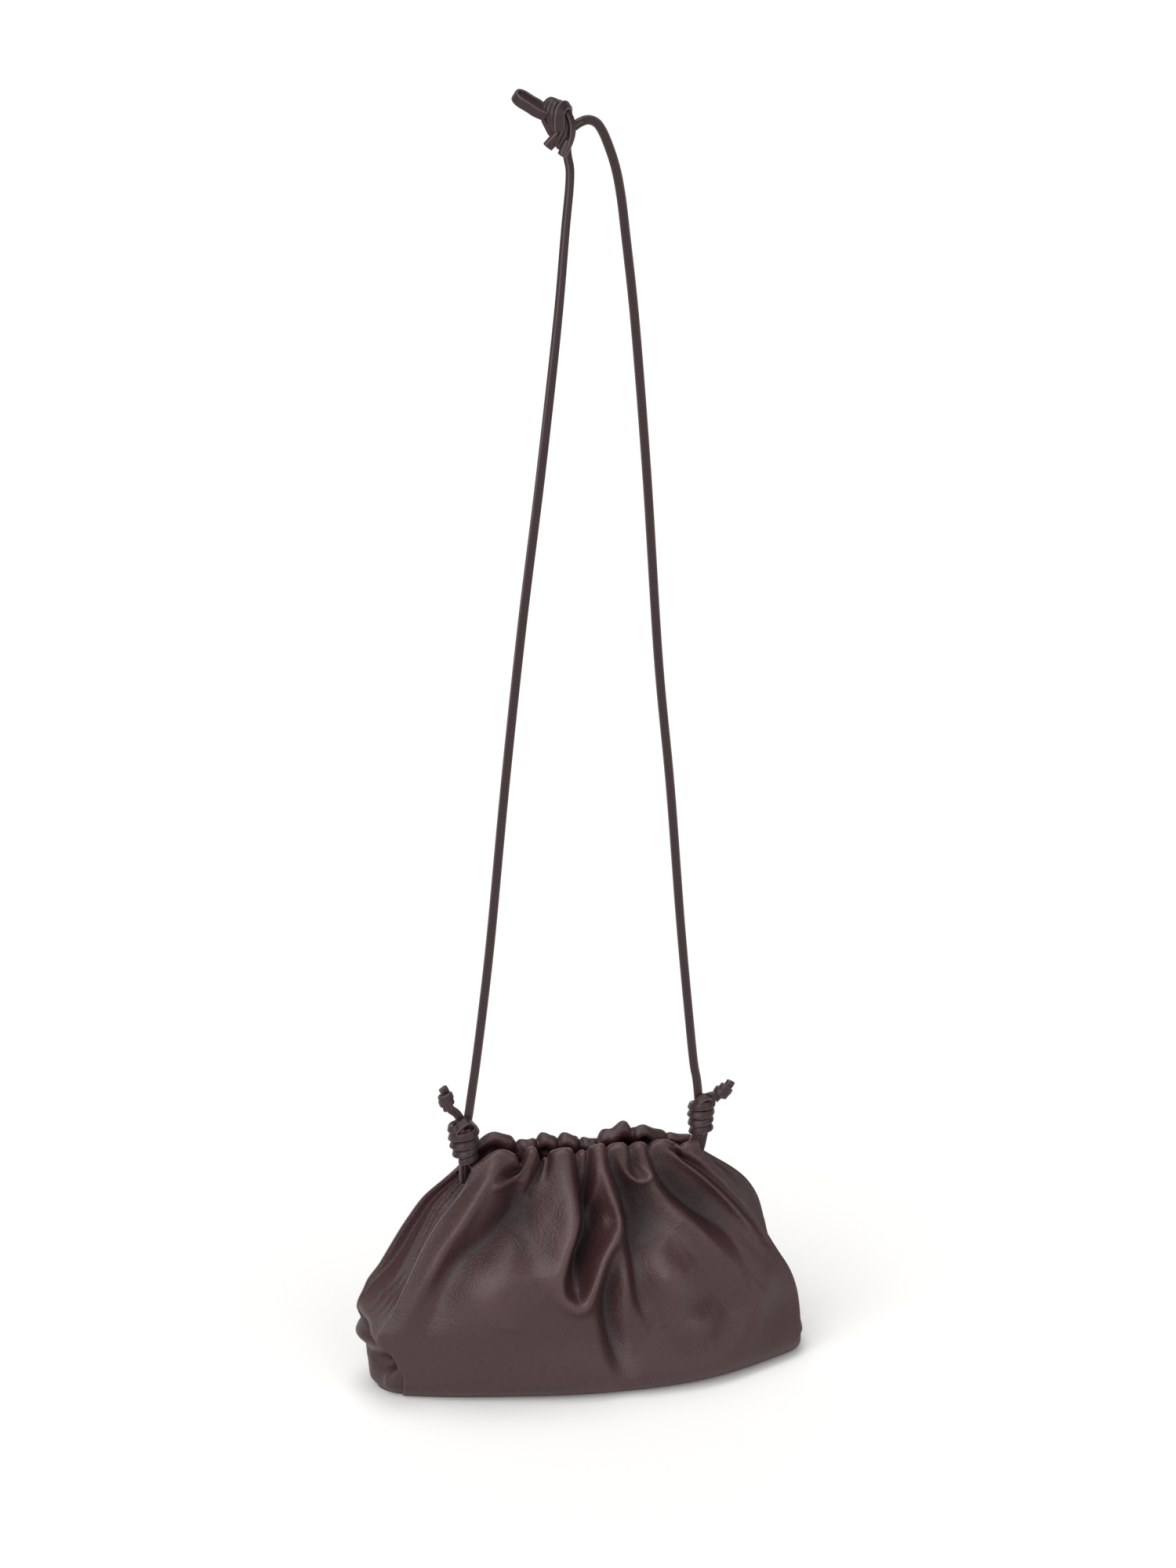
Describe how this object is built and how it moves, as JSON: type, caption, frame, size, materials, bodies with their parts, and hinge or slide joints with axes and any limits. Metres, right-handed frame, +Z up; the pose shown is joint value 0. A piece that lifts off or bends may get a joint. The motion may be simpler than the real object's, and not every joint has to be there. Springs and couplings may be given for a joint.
{
  "type": "leather cloud pouch bag with knotted cord strap",
  "caption": "Small gathered pouch bag of soft folded leather with a slumped body, barrel-knotted flat cord strap and a knot and hanging loop at its top.",
  "frame": {"origin": "inner side of the bend of the hanging loop at the top of the strap, where the hook that holds the bag passes", "axes": "+X along the mouth from the left end to the right, +Y from the front panel to the back panel, +Z up"},
  "size_m": [0.2366, 0.0872, 0.6638],
  "materials": {
    "body_leather": "soft smooth nappa leather with a fine pebble grain and a satin sheen, dark aubergine brown",
    "cord_leather": "flat folded leather cord with a stitched centre line and dark painted edges, dark aubergine brown",
    "bar_metal": "plain brushed bar hidden in the corners of the mouth"
  },
  "bodies": {
    "root": {"front_panel": "body_leather", "back_panel": "body_leather", "base_panel": "body_leather", "left_gusset": "body_leather", "right_gusset": "body_leather", "left_strap_bar": "bar_metal", "right_strap_bar": "bar_metal", "left_anchor_loop": "cord_leather", "right_anchor_loop": "cord_leather", "left_barrel_knot": "cord_leather", "right_barrel_knot": "cord_leather", "left_tail": "cord_leather", "right_tail": "cord_leather", "left_stopper_knot": "cord_leather", "right_stopper_knot": "cord_leather", "left_strand": "cord_leather", "right_strand": "cord_leather", "top_knot": "cord_leather", "hanging_loop": "cord_leather"}
  },
  "joints": []
}
